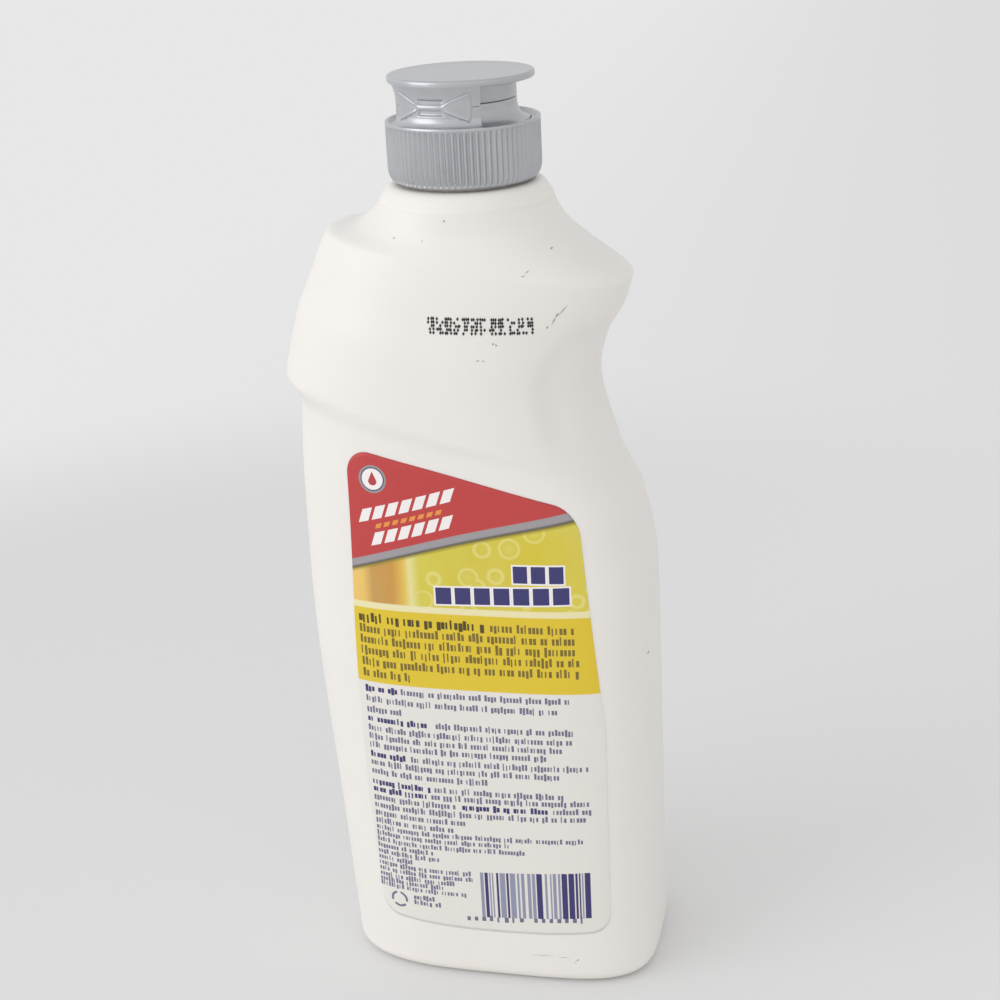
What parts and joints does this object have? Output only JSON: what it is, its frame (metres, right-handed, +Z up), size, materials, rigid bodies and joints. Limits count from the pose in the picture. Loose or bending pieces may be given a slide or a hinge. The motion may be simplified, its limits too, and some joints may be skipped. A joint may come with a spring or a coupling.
{
  "type": "cleanser bottle",
  "caption": "Blow-moulded squeeze bottle with a slanted side grip, a label panel and a ribbed screw closure whose flip lid swings on a bow-tie strap.",
  "frame": {"origin": "on the floor under the middle of the part's box", "axes": "+Z up along the bottle, -Y out of the labelled face, +X towards the side with the finger grip"},
  "size_m": [0.0948, 0.0578, 0.2434],
  "materials": {
    "bottle_hdpe": "satin blow-moulded polyethylene",
    "closure_pp": "silver-grey pearl polypropylene",
    "strap_pp": "silver-grey pearl polypropylene, thin",
    "seal_foam": "soft polyethylene foam",
    "label_film": "printed plastic film"
  },
  "bodies": {
    "container": {"bottle": "bottle_hdpe", "back_label": "label_film"},
    "seal": {"seal_ring": "seal_foam"},
    "closure": {"closure_body": "closure_pp", "hinge_strap": "strap_pp"},
    "lid": {"flip_lid": "closure_pp"}
  },
  "joints": [
    {"name": "cap_rise", "type": "slide", "parent": "container", "child": "seal", "axis": [0, 0, 1], "range_m": [0, 0.0127]},
    {"name": "cap_turn", "type": "hinge", "parent": "seal", "child": "closure", "pos_m": [0.0011, 0, 0.225], "axis": [0, 0, 1], "range_deg": [0, 1080]},
    {"name": "lid_hinge", "type": "hinge", "parent": "closure", "child": "lid", "pos_m": [-0.00271, -0.01693, 0.2371], "axis": [0.9755, -0.2199, 0], "range_deg": [0, 145], "deforming": ["hinge_strap"]}
  ],
  "couplings": [
    {"joint": "cap_rise", "follows": "cap_turn", "m_per_rad": 0.00067323}
  ]
}
